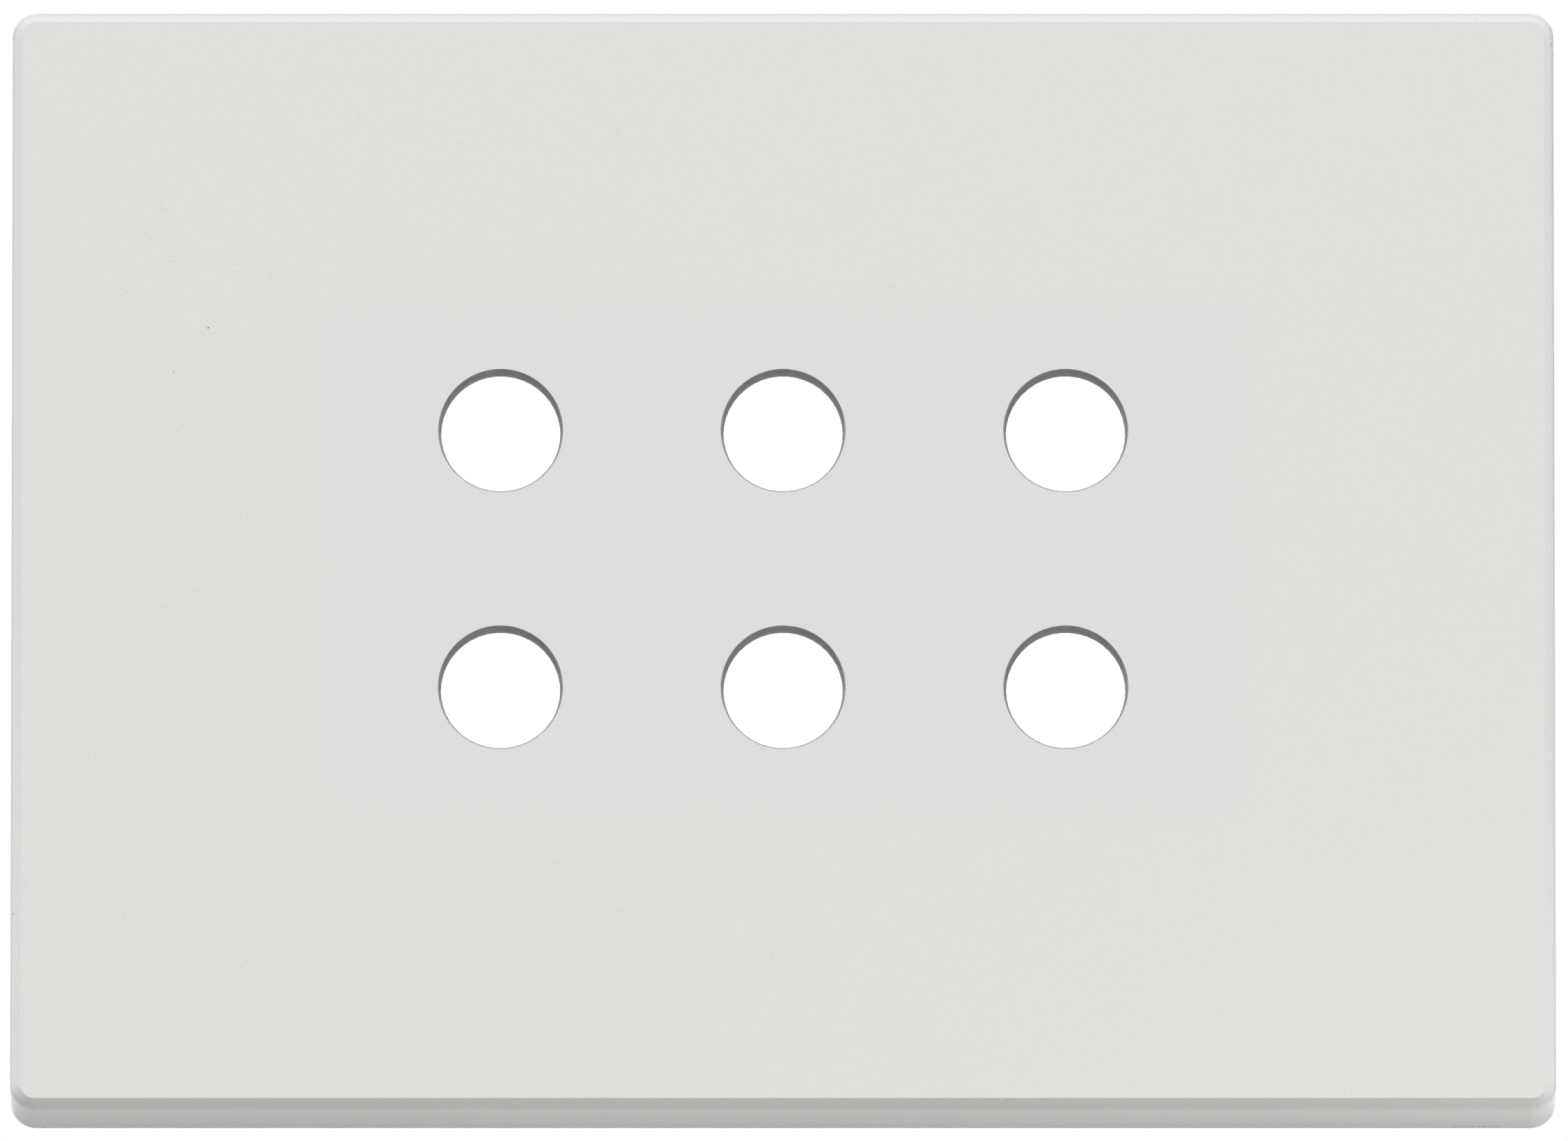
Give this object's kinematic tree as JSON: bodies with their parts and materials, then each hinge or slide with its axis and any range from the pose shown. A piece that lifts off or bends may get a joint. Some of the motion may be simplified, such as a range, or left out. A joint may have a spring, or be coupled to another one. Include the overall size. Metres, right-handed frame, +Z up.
{
  "type": "switch plate",
  "caption": "Rectangular wall switch cover plate with a bevelled edge and round button holes; its hollow back has seat ribs and snap catches that clip over a switch grid.",
  "frame": {"origin": "centre of the rim, in the plane of the wall that the plate is fixed against", "axes": "+X to the right as seen from the front, +Z up, front face towards -Y, wall towards +Y"},
  "size_m": [0.1204, 0.011, 0.0864],
  "materials": {
    "white_plastic": "matte"
  },
  "bodies": {
    "root": {"switch_plate": "white_plastic"}
  },
  "joints": []
}
